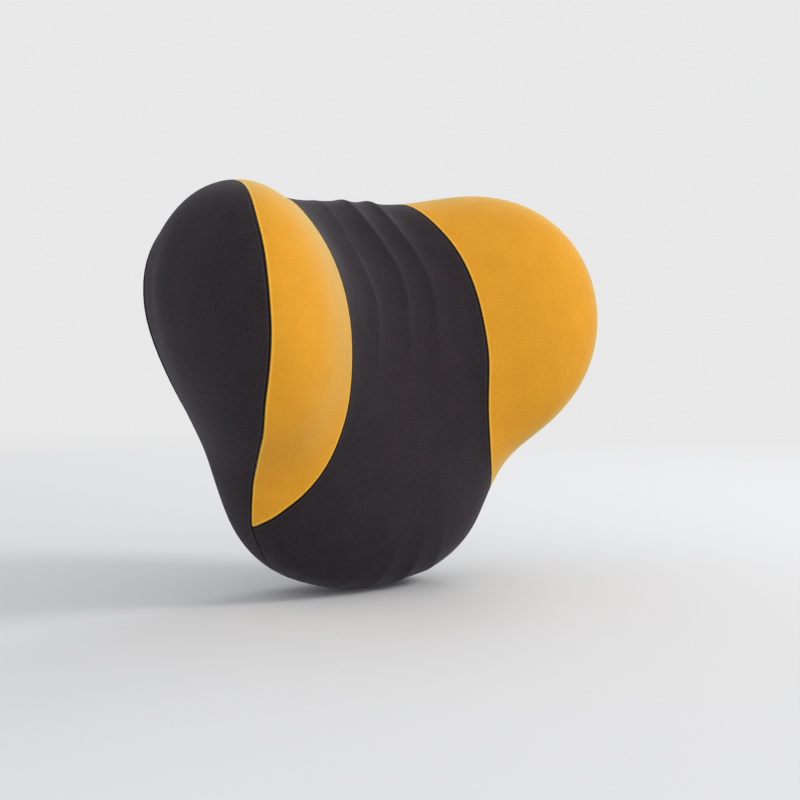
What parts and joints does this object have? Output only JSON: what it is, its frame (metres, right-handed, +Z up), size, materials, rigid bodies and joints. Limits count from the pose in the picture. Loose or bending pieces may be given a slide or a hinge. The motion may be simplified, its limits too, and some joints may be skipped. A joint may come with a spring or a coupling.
{
  "type": "car neck pillow",
  "caption": "Winged neck pillow for a car seat: a foam core in a charcoal and amber knit cover, with a zip across the flat back and an elastic strap that holds it to the headrest.",
  "frame": {"origin": "the seat face mount, on the plane of the flat back and on the centre line", "axes": "-Y out of the front where the neck rests, +Y out of the flat back, +Z up, X across the wings"},
  "size_m": [0.3006, 0.1738, 0.2468],
  "materials": {
    "foam": "moulded foam skin",
    "charcoal_knit": "fine smooth knit",
    "amber_knit": "fine smooth knit",
    "zip_tape": "woven tape",
    "zip_coil": "nylon",
    "gunmetal": "gunmetal plate",
    "strap_elastic": "woven elastic"
  },
  "bodies": {
    "pillow": {"foam_core": "foam", "centre_panel": "charcoal_knit", "left_accent_panel": "amber_knit", "right_accent_panel": "amber_knit", "left_side_panel": "charcoal_knit", "right_side_panel": "charcoal_knit", "back_panel": "charcoal_knit", "zip_tape_upper": "zip_tape", "zip_tape_lower": "zip_tape", "zip_coil_upper": "zip_coil", "zip_coil_lower": "zip_coil", "zip_stop_left": "gunmetal", "zip_stop_right": "gunmetal", "elastic_strap": "strap_elastic"},
    "slider": {"zip_slider": "gunmetal"},
    "pull": {"zip_pull": "gunmetal"}
  },
  "joints": [
    {"name": "zip_slide", "type": "slide", "parent": "pillow", "child": "slider", "axis": [-1, 0, 0], "range_m": [0, 0.1444]},
    {"name": "pull_turn", "type": "hinge", "parent": "slider", "child": "pull", "pos_m": [0.0722, 0.00395, 0.012], "axis": [0, 0, -1], "range_deg": [0, 180]}
  ]
}
